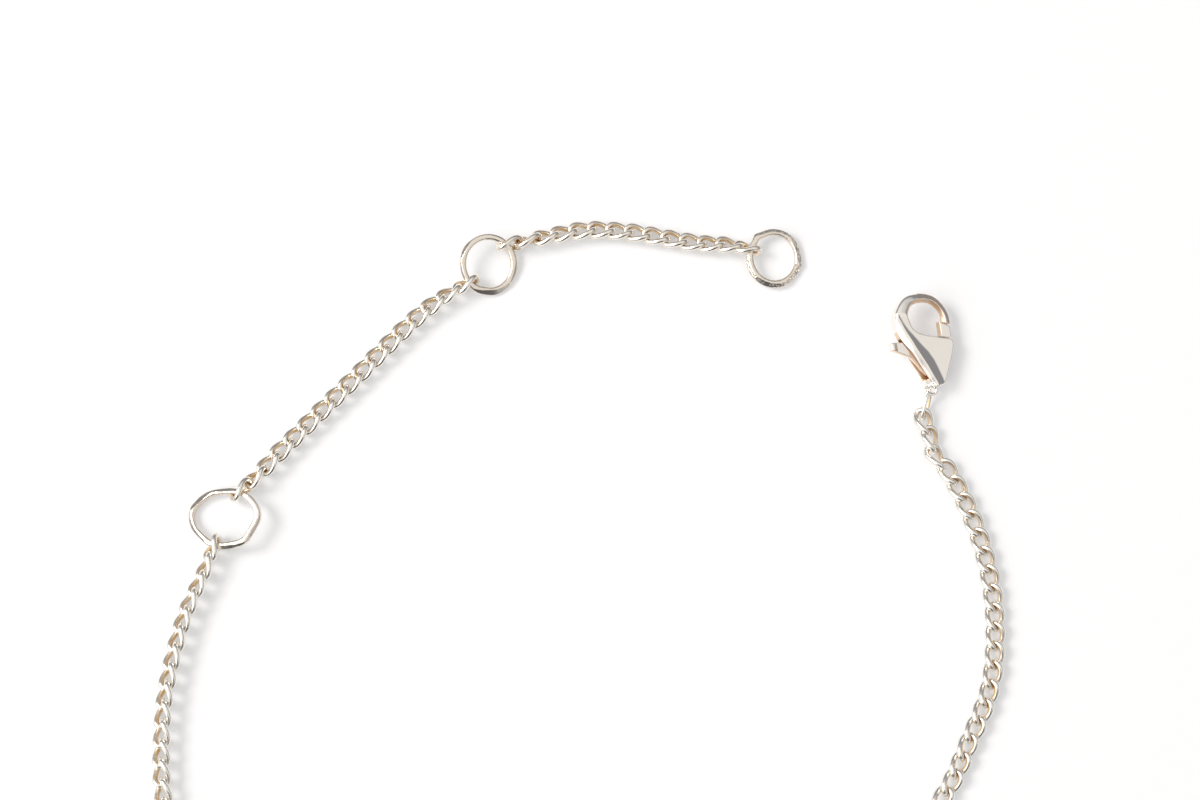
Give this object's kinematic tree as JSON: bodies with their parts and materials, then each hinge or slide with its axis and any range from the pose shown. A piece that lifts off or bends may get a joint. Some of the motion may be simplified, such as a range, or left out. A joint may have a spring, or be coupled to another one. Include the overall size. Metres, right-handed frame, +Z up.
{
  "type": "chain bracelet",
  "caption": "Adjustable silver curb-chain bracelet laid open, with a lobster clasp at one end and rings to hook it into at the other.",
  "frame": {"origin": "middle of the open bracelet's footprint, on the table it lies on", "axes": "+Z up from the table; +Y from the plain stretch of the chain to the middle ring; +X towards the clasp"},
  "size_m": [0.0696, 0.0628, 0.0029],
  "materials": {
    "polished_silver": "polished"
  },
  "bodies": {
    "bracelet": {"end_ring": "polished_silver", "outer_extension_chain": "polished_silver", "middle_ring": "polished_silver", "inner_extension_chain": "polished_silver", "third_ring": "polished_silver", "main_chain_ring_side": "polished_silver", "main_chain_clasp_side": "polished_silver", "jump_ring": "polished_silver", "clasp_body": "polished_silver", "lever_pin": "polished_silver"},
    "lever": {"clasp_lever": "polished_silver"}
  },
  "joints": [
    {"name": "lever_hinge", "type": "hinge", "parent": "bracelet", "child": "lever", "pos_m": [0.02925, 0.01966, 0.00112], "axis": [0.2707, -0.0625, 0.9606], "range_deg": [0, 30], "stiffness_Nm_per_rad": 0.004}
  ]
}
